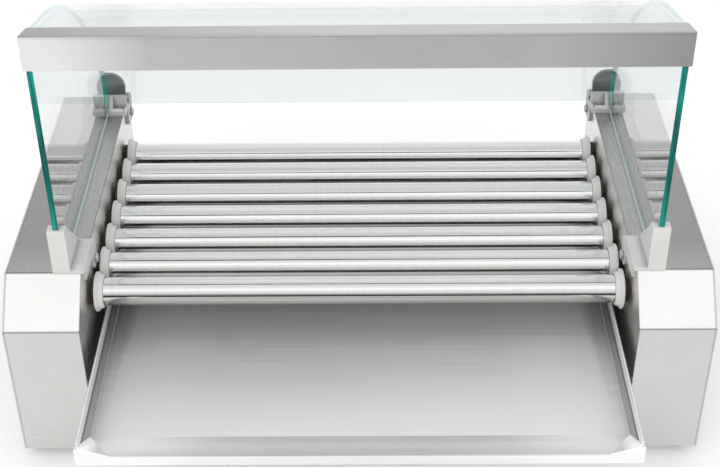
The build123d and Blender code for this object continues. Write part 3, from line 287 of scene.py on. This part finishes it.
def tone_inner(m, co):
    x, y, z = m.xyz(co)
    nx, ny, nz = m.normal()
    # painted shade: the inner panels darker towards the rear, their sideways faces lighter
    f = m.curve(y, [(-0.170, 1.0), (-0.125, 1.0), (-0.090, 0.60), (0.165, 0.50)])
    return m.math("MULTIPLY", f, m.rng(m.math("ABSOLUTE", nx), 0.8, 0.95, 1.0, 1.6))


def tone_rear(m, co):
    """Rear brackets: painted shade on the fin behind the curved glass, darkest at its top, standing in for how dark it
    looks through the glass.
    """
    x, y, z = m.xyz(co)
    fin = m.math("MULTIPLY", m.rng(y, 0.1460, 0.1464, 0.0, 1.0), m.rng(z, 0.170, 0.196, 0.25, 0.74))
    return m.math("SUBTRACT", 1.0, fin)


def polished(name):
    """Polished roller tube: turned marks round the tube, faint smears along it, and painted shade that darkens it
    towards the underside.
    """
    m = Mat(name)
    co = m.coord()
    rings = m.noise(co, 1.0, 2.0, 0.6, (1800.0, 4.0, 4.0))
    wide = m.noise(co, 1.0, 3.0, 0.6, (120.0, 6.0, 6.0))
    smear = m.noise(co, 1.0, 4.0, 0.6, (14.0, 90.0, 90.0))
    g = m.math("ADD", m.math("MULTIPLY", rings, 0.7), m.math("MULTIPLY", wide, 0.3))
    pos = m.n("NewGeometry")
    pv = m.n("SeparateXYZ")
    m.link(pos.outputs["Position"], pv.inputs[0])
    # painted shade: the tube darker towards its underside, by height in the scene
    low = m.curve(pv.outputs[2], [(0.115, 0.42), (0.120, 0.50), (0.125, 0.62), (0.129, 0.78), (0.1305, 1.0), (0.140, 1.0)])
    f = m.math("MULTIPLY", m.rng(g, 0.3, 0.7, 0.785, 0.83), low)
    col = m.n("CombineColor", Red=f, Green=m.math("MULTIPLY", f, 0.994), Blue=m.math("MULTIPLY", f, 0.975)).outputs[0]
    r = m.rng(g, 0.3, 0.7, 0.045, 0.085)
    r = m.math("ADD", r, m.rng(smear, 0.5, 0.8, 0.0, 0.05))
    nrm = m.bump(g, 0.03, 0.0002)
    p = m.principled(Base__Color=col, Metallic=1.0, Roughness=r, Normal=nrm)
    return m.done(p.outputs[0])


def moulded(name, col, rough=0.42, grain=0.12, vary=0.04, scale=1400.0, tone=None, tint=None, mark=None):
    """Moulded polymer with a fine texture and slight soiling, and painted shade in
    crevices that draws the colour towards black or tint. mark is the middle
    (y, z) of a knob's pointer groove, whose floor is filled with light paint."""
    m = Mat(name)
    co = m.coord()
    fine = m.noise(co, scale, 2.0, 0.5)
    soft = m.noise(co, 40.0, 4.0, 0.55)
    a = tuple(c * (1 - vary) for c in col)
    b = tuple(min(1.0, c * (1 + vary)) for c in col)
    c = m.ramp(soft, [(0.3, a), (0.7, b)])
    # painted shade in crevices, drawn towards black or tint; tone adds more painted shade
    ao = m.crevice_shade(0.006, 0.40)
    if tone is not None:
        ao = m.math("MULTIPLY", ao, tone(m, co))
    c = m.mix(ao, rgb(0.0, 0.0, 0.0) if tint is None else rgb(*tint), c)
    if mark is not None:
        x, y, z = m.xyz(co)
        dy = m.math("ABSOLUTE", m.math("SUBTRACT", y, mark[0]))
        dz = m.math("ABSOLUTE", m.math("SUBTRACT", z, mark[1]))
        on = m.math("MULTIPLY", m.math("LESS_THAN", dy, 0.0009), m.math("LESS_THAN", dz, 0.0041))
        on = m.math("MULTIPLY", on, m.math("MULTIPLY", m.math("GREATER_THAN", x, 0.3060), m.math("LESS_THAN", x, 0.3066)))
        c = m.mix(on, c, rgb(0.80, 0.80, 0.78))
    r = m.math("ADD", m.rng(fine, 0.3, 0.7, rough - 0.05, rough + 0.06), m.rng(soft, 0.5, 0.8, 0.0, 0.05))
    p = m.principled(Base__Color=c, Roughness=r, Normal=m.bump(fine, grain, 0.0004))
    return m.done(p.outputs[0])


def metal(name, col, rough, grain=0.10, scale=900.0, vary=0.08):
    """Cast, zinc-plated or sintered metal."""
    m = Mat(name)
    co = m.coord()
    fine = m.noise(co, scale, 3.0, 0.6)
    soft = m.noise(co, 55.0, 4.0, 0.6)
    c = m.ramp(soft, [(0.3, tuple(x * (1 - vary) for x in col)), (0.7, tuple(min(1, x * (1 + vary)) for x in col))])
    r = m.rng(fine, 0.3, 0.7, rough - 0.06, rough + 0.08)
    p = m.principled(Base__Color=c, Metallic=1.0, Roughness=r, Normal=m.bump(fine, grain, 0.0004))
    return m.done(p.outputs[0])


def painted(name, col, rough=0.4):
    m = Mat(name)
    co = m.coord()
    peel = m.noise(co, 500.0, 2.0, 0.5)
    soft = m.noise(co, 30.0, 4.0, 0.6)
    c = m.ramp(soft, [(0.3, tuple(x * 0.93 for x in col)), (0.7, tuple(min(1, x * 1.05) for x in col))])
    p = m.principled(Base__Color=c, Roughness=m.rng(soft, 0.3, 0.7, rough - 0.05, rough + 0.08), Normal=m.bump(peel, 0.15, 0.0004))
    return m.done(p.outputs[0])


def glass(name, edge_axis, low_z=None, inner=0.0):
    """Clear float glass 5 mm thick. The cut edges look green: light runs along the
    sheet there. Faces pass light nearly clear and mirror at grazing angles."""
    m = Mat(name)
    co = m.coord()
    geo = m.n("NewGeometry")
    sx = m.n("SeparateXYZ")
    m.link(geo.outputs["True Normal"], sx.inputs[0])
    ax = m.math("ABSOLUTE", sx.outputs[0])
    pos = m.n("SeparateXYZ")
    m.link(co, pos.inputs[0])
    if edge_axis == "not_x":            # side glass: every face but the two big ones
        edge = m.math("LESS_THAN", ax, 0.5)
    else:                               # curved glass: the two ends and the lower edge
        edge = m.math("GREATER_THAN", ax, 0.5)
        low = m.math("MULTIPLY", m.math("LESS_THAN", pos.outputs[2], low_z + 0.0017), m.math("LESS_THAN", sx.outputs[2], -0.5))
        edge = m.math("MAXIMUM", edge, low)
    lw = m.n("LayerWeight", Blend=0.5)
    fres = m.math("MULTIPLY_ADD", m.math("POWER", lw.outputs["Facing"], 4.3), 0.94, 0.05)
    smear = m.noise(co, 16.0, 4.0, 0.6)
    rough = m.rng(smear, 0.45, 0.8, 0.0, 0.010)
    trans = m.n("BsdfTransparent", Color=rgb(0.928, 0.943, 0.948))
    gloss = m.n("BsdfGlossy", Color=rgb(1, 1, 1), Roughness=rough)
    face = m.n("MixShader", Fac=fres)
    m.link(trans.outputs[0], face.inputs[1])
    m.link(gloss.outputs[0], face.inputs[2])
    wav = m.noise(co, 1.0, 4.0, 0.6, (500.0, 500.0, 24.0))
    # painted light: the edge colour brightest at the bottom, darkest a little above the middle, brighter again at the
    # top
    depth = m.curve(pos.outputs[2], [(0.160, 3.0), (0.195, 2.6), (0.225, 1.5), (0.255, 0.75), (0.290, 0.80), (0.325, 1.5), (0.350, 1.8), (0.390, 1.8)])
    ecol = m.ramp(wav, [(0.34, (0.002, 0.060, 0.055)), (0.50, (0.003, 0.14, 0.12)), (0.70, (0.006, 0.26, 0.22))])
    dm = m.n("VectorMath", _operation="MULTIPLY")
    m.link(ecol, dm.inputs[0])
    m.link(depth, dm.inputs[1])
    ecol = dm.outputs[0]
    ebs = m.principled(Base__Color=ecol, Roughness=0.25, Specular__IOR__Level=0.15, Normal=m.bump(wav, 0.2, 0.0005))
    if edge_axis == "not_x":            # painted highlight: the foot shows as one bright line at its inner edge, the rest of it passes light dimmed
        px = m.math("ABSOLUTE", pos.outputs[0])
        line = m.rng(px, inner + 0.0014, inner + 0.0018, 1.0, 0.0)
        bright = m.n("BsdfDiffuse", Color=rgb(0.60, 0.84, 0.83))
        dim = m.n("BsdfTransparent", Color=rgb(0.50, 0.56, 0.56))
        foot = m.n("MixShader", Fac=line)
        m.link(dim.outputs[0], foot.inputs[1])
        m.link(bright.outputs[0], foot.inputs[2])
        clear = m.n("BsdfTransparent", Color=rgb(0.80, 0.88, 0.88))
        e1 = m.n("MixShader", Fac=m.math("GREATER_THAN", sx.outputs[2], 0.25))
        m.link(ebs.outputs[0], e1.inputs[1])
        m.link(clear.outputs[0], e1.inputs[2])
        ebs = e1
        e2 = m.n("MixShader", Fac=m.math("LESS_THAN", pos.outputs[2], low_z + 0.0012))
        m.link(ebs.outputs[0], e2.inputs[1])
        m.link(foot.outputs[0], e2.inputs[2])
        ebs = e2
    if edge_axis != "not_x":            # ends seen from inside the sheet stay nearly clear
        clear = m.n("BsdfTransparent", Color=rgb(0.64, 0.76, 0.76))
        e3 = m.n("MixShader", Fac=geo.outputs["Backfacing"])
        m.link(ebs.outputs[0], e3.inputs[1])
        m.link(clear.outputs[0], e3.inputs[2])
        ebs = e3
    lp = m.n("LightPath")
    edge = m.math("MULTIPLY", edge, m.math("SUBTRACT", 1.0, m.math("MULTIPLY", lp.outputs["Is Glossy Ray"], 0.8)))
    sh = m.n("MixShader", Fac=edge)
    m.link(face.outputs[0], sh.inputs[1])
    m.link(ebs.outputs[0], sh.inputs[2])
    return m.done(sh.outputs[0])


# ------------------------------------------------------------------ materials
m_sheet_x = steel("steel_brushed_x", "X", base=0.62, rough=0.30, grain=0.6, cross=1400.0)
# painted light: the cover's top at 0.55 and its standing faces at 0.76 of the bevel's brightness
m_cover = steel("steel_cover", "X", base=0.90, rough=0.27, grain=0.12, cross=2200.0, top=0.55, slope=1.00, wall=0.76,
                tint=(1.0, 0.99, 0.972), tone=tone_cover, occlude=False, turn=True)
m_sheet_y = steel("steel_brushed_y", "Y", base=0.60, rough=0.32, grain=0.6, cross=1400.0)
m_inner = steel("steel_inner", "Y", base=0.94, rough=0.34, tint=(1.0, 0.98, 0.95), tone=tone_inner, occlude=False)
m_tray = steel("steel_tray", "X", base=0.92, rough=0.34, grain=1.1, aniso=0.8, cross=1000.0, tint=(1.0, 0.998, 0.985), tone=tone_tray, scatter=haze_tray)
m_rail = steel("steel_rail", "X", base=0.96, rough=0.28, grain=0.6, cross=2600.0, tint=(1.0, 0.995, 0.985), tone=tone_rail)
m_roller = polished("roller_polished")
m_cap = moulded("cap_polymer", (0.79, 0.79, 0.77), rough=0.40)
m_bracket = moulded("bracket_polymer", (0.75, 0.75, 0.73), rough=0.38)
# the rear brackets' painted shade fades towards a dark teal
m_rear_bracket = moulded("rear_bracket_polymer", (0.72, 0.72, 0.70), rough=0.38, tone=tone_rear, tint=(0.01, 0.04, 0.04))
m_black = moulded("black_polymer", (0.018, 0.018, 0.019), rough=0.38, vary=0.15)
m_front_knob = moulded("front_knob_polymer", (0.018, 0.018, 0.019), rough=0.38, vary=0.15, mark=(-0.066, 0.0875))
m_rear_knob = moulded("rear_knob_polymer", (0.018, 0.018, 0.019), rough=0.38, vary=0.15, mark=(0.002, 0.0875))
m_rubber = moulded("foot_rubber", (0.012, 0.012, 0.012), rough=0.62, vary=0.2, grain=0.25)
m_zinc = metal("zinc_plate", (0.55, 0.55, 0.54), 0.34)
m_chain = metal("chain_steel", (0.30, 0.29, 0.28), 0.38, vary=0.2)
m_bronze = metal("sintered_bronze", (0.16, 0.13, 0.10), 0.45, grain=0.25)
m_screw = metal("screw_steel", (0.62, 0.62, 0.61), 0.22, grain=0.05)
m_heater = metal("heater_sheath", (0.28, 0.26, 0.24), 0.45, vary=0.2)
m_motor = painted("motor_casing", (0.30, 0.31, 0.32))
m_dial = steel("dial_satin", "Z", base=0.62, rough=0.38, grain=0.6)
m_lamp = moulded("lamp_lens", (0.62, 0.035, 0.015), rough=0.12, grain=0.02, vary=0.08)
m_rocker = moulded("rocker_polymer", (0.50, 0.020, 0.015), rough=0.22, grain=0.04, vary=0.06)
m_glass_side = glass("glass_side", "not_x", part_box("left_side_glass")[0].z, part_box("right_side_glass")[0].x)
m_glass_curved = glass("glass_curved", "x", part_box("curved_glass")[0].z)

MATS = {
    "base_pan": m_sheet_x, "left_inner_panel": m_inner, "right_inner_panel": m_inner,
    "left_housing_cover": m_cover, "right_housing_cover": m_cover,
    "left_side_plate": m_sheet_y, "right_side_plate": m_sheet_y,
    "front_cross_panel": m_sheet_x, "rear_cross_panel": m_sheet_x,
    "rubber_feet": m_rubber, "foot_screws": m_screw, "tray_runners": m_inner,
    "roller_bushings": m_bronze, "heater_rods": m_heater, "heater_brackets": m_zinc,
    "motor_bracket": m_zinc, "gear_motor": m_motor, "drive_chain": m_chain,
    "left_front_glass_bracket": m_bracket, "right_front_glass_bracket": m_bracket,
    "left_rear_glass_bracket": m_rear_bracket, "right_rear_glass_bracket": m_rear_bracket,
    "bracket_screws": m_screw, "housing_screws": m_screw, "thermostats": m_zinc,
    "thermostat_dials": m_dial, "pilot_lights": m_lamp, "switch_body": m_black,
    "terminal_block": m_black, "power_inlet": m_black, "drip_tray": m_tray,
    "curved_glass": m_glass_curved, "left_side_glass": m_glass_side, "right_side_glass": m_glass_side,
    "top_rail": m_rail, "front_thermostat_knob": m_front_knob, "rear_thermostat_knob": m_rear_knob,
    "switch_rocker": m_rocker, "motor_sprocket": m_chain,
}
for i in range(1, 8):
    MATS["roller_%d_tube" % i] = m_roller
    MATS["roller_%d_end_caps" % i] = m_cap
    MATS["roller_%d_sprocket" % i] = m_chain

# soft edges on the bent and moulded pieces: width in metres
BEVEL = {
    "left_front_glass_bracket": 0.0006, "right_front_glass_bracket": 0.0006,
    "left_rear_glass_bracket": 0.0006, "right_rear_glass_bracket": 0.0006,
    "top_rail": 0.0003, "drip_tray": 0.0003, "left_side_plate": 0.0003, "right_side_plate": 0.0003,
    "left_housing_cover": 0.0003, "right_housing_cover": 0.0003,
    "left_side_glass": 0.0004, "right_side_glass": 0.0004, "curved_glass": 0.0004,
    "front_cross_panel": 0.0003, "rear_cross_panel": 0.0003, "switch_body": 0.0004,
    "switch_rocker": 0.0005, "front_thermostat_knob": 0.0004, "rear_thermostat_knob": 0.0004,
    "power_inlet": 0.0004, "pilot_lights": 0.0003, "terminal_block": 0.0004,
    "thermostats": 0.0005, "gear_motor": 0.0008, "motor_bracket": 0.0003, "heater_brackets": 0.0003,
    "tray_runners": 0.0003, "rubber_feet": 0.0008, "thermostat_dials": 0.0001,
    "left_inner_panel": 0.0002, "right_inner_panel": 0.0002, "base_pan": 0.0002,
}

for name, ob in N.items():
    me = ob.data
    me.materials.clear()
    me.materials.append(MATS[name])
    for p in me.polygons:
        p.material_index = 0
        p.use_smooth = True
    w = ob.modifiers.new("weld", "WELD")
    w.merge_threshold = 1e-6
    if name in BEVEL:
        b = ob.modifiers.new("edge", "BEVEL")
        b.width = BEVEL[name]
        b.segments = 2
        b.limit_method = "ANGLE"
        b.angle_limit = math.radians(35)
        b.use_clamp_overlap = True
        b.harden_normals = False
        b.miter_outer = "MITER_ARC"

# smooth shading that stops at real edges
for name, ob in N.items():
    for o in bpy.context.selected_objects:
        o.select_set(False)
    bpy.context.view_layer.objects.active = ob
    ob.select_set(True)
    bpy.ops.object.shade_auto_smooth(angle=math.radians(32))
    ob.select_set(False)
    for md in ob.modifiers:
        if md.type == "NODES":
            md.use_pin_to_last = False
    wn = ob.modifiers.new("flats", "WEIGHTED_NORMAL")     # big faces keep their own normal
    wn.mode = "FACE_AREA"
    wn.weight = 60
    wn.keep_sharp = True

# ------------------------------------------------------------------ floor and light
Z_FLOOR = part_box("rubber_feet")[0].z


def floor():
    bm = bmesh.new()
    s = 6.0
    prof = []
    for k in range(25):                                  # a cove that rises behind the machine
        a = math.radians(90 * k / 24)
        prof.append((4.0 + 1.5 * math.sin(a), 1.5 - 1.5 * math.cos(a)))
    pts = [(-6.0, 0.0)] + prof + [(5.5, 5.0)]
    rows = []
    for y, z in pts:
        rows.append([bm.verts.new((x, y, Z_FLOOR + z)) for x in (-s, s)])
    for a, b in zip(rows, rows[1:]):
        f = bm.faces.new((a[0], a[1], b[1], b[0]))
        f.smooth = True
    me = bpy.data.meshes.new("floor")
    bm.to_mesh(me)
    bm.free()
    ob = bpy.data.objects.new("floor", me)
    bpy.context.scene.collection.objects.link(ob)
    m = Mat("floor_white")
    co = m.coord()
    v = m.noise(co, 3.0, 3.0, 0.5)
    c = m.ramp(v, [(0.3, (0.86, 0.86, 0.86)), (0.7, (0.90, 0.90, 0.90))])
    p = m.principled(Base__Color=c, Roughness=0.85, Emission__Color=rgb(1, 1, 1), Emission__Strength=0.20)
    x, y, z = m.xyz(co)
    lp = m.n("LightPath")
    inc = m.n("NewGeometry")
    iv = m.n("SeparateXYZ")
    m.link(inc.outputs["Incoming"], iv.inputs[0])
    # painted reflection: glossy rays that meet the far floor at a low angle see it dark
    far = m.math("MULTIPLY", m.rng(y, -0.55, -0.42, 1.0, 0.0), lp.outputs["Is Glossy Ray"])
    far = m.math("MULTIPLY", far, m.rng(m.math("ABSOLUTE", iv.outputs[2]), 0.24, 0.34, 1.0, 0.0))
    dark = m.n("Emission", Color=rgb(0.05, 0.05, 0.05))
    mx = m.n("MixShader", Fac=far)
    m.link(p.outputs[0], mx.inputs[1])
    m.link(dark.outputs[0], mx.inputs[2])
    me.materials.append(m.done(mx.outputs[0]))
    return ob


floor()

class World(Mat):
    """The light tent round the machine: brightness by the angle in the Y-Z plane
    (0 behind, 90 overhead, 180 in front)."""
    def __init__(self, name):
        self.m = bpy.data.worlds.new(name)
        self.m.use_nodes = True
        self.t = self.m.node_tree
        self.t.nodes.clear()
        self.out = self.t.nodes.new("ShaderNodeOutputWorld")


w = World("studio")
wc = w.n("TexCoord")
ws = w.n("SeparateXYZ")
w.link(wc.outputs["Generated"], ws.inputs[0])
theta = w.math("DIVIDE", w.math("ARCTAN2", ws.outputs[2], ws.outputs[1]), math.pi)
ENV = [(0, 0.80), (30, 1.04), (62, 1.06), (88, 0.84), (104, 0.86), (118, 1.00), (131, 1.20), (139, 1.20), (148, 0.97), (168, 0.80), (176, 0.35), (180, 0.15)]
level = w.ramp(theta, [(a / 180.0, (v / 1.2,) * 3) for a, v in ENV])
side = w.math("ABSOLUTE", ws.outputs[0])
dim = w.math("MULTIPLY", w.rng(side, 0.12, 0.26, 0.0, 0.30), w.rng(theta, 0.42, 0.56, 1.0, 0.0))
bg = w.n("Background", Color=level, Strength=w.math("MULTIPLY", w.math("SUBTRACT", 1.0, dim), 1.2))
w.link(bg.outputs[0], w.out.inputs["Surface"])
bpy.context.scene.world = w.m


def area(name, loc, target, size, power, sy=None):
    li = bpy.data.lights.new(name, "AREA")
    li.shape = "RECTANGLE"
    li.size = size
    li.size_y = sy or size
    li.energy = power
    ob = bpy.data.objects.new(name, li)
    bpy.context.scene.collection.objects.link(ob)
    ob.location = loc
    ob.rotation_euler = (Vector(target) - Vector(loc)).to_track_quat("-Z", "Y").to_euler()
    ob.visible_glossy = False
    return ob


area("key", (-0.7, -1.4, 2.4), (0, 0, 0.1), 2.2, 9, 1.6)

# ------------------------------------------------------------------ camera
F, CX, CY = 1387.1, 349.6, 229.9            # focal length and centre for a 720 x 467 frame
pitch, yaw, roll = math.radians(35.685), math.radians(0.755), math.radians(0.784)
cam = bpy.data.cameras.new("camera")
cam.sensor_fit = "HORIZONTAL"
cam.sensor_width = 36.0
cam.lens = F / 720 * 36.0
cam.shift_x = (360.0 - CX) / 720
cam.shift_y = (CY - 233.5) / 720
cam.clip_start, cam.clip_end = 0.05, 60
cob = bpy.data.objects.new("camera", cam)
bpy.context.scene.collection.objects.link(cob)
fwd = Vector((-math.sin(yaw) * math.cos(pitch), math.cos(yaw) * math.cos(pitch), -math.sin(pitch)))
right = Vector((math.cos(yaw), math.sin(yaw), 0))
down = fwd.cross(right)
r = math.cos(roll) * right + math.sin(roll) * down
d = -math.sin(roll) * right + math.cos(roll) * down
rot = Matrix((r, -d, -fwd)).transposed()
cob.matrix_world = Matrix.Translation(Vector((0.0051, -0.8997 - 0.126, 0.6882 + Z_TOP))) @ rot.to_4x4()
bpy.context.scene.camera = cob

sc = bpy.context.scene
sc.view_settings.view_transform = "Standard"
sc.view_settings.look = "None"
sc.view_settings.exposure = 0.0
sc.view_settings.gamma = 1.0
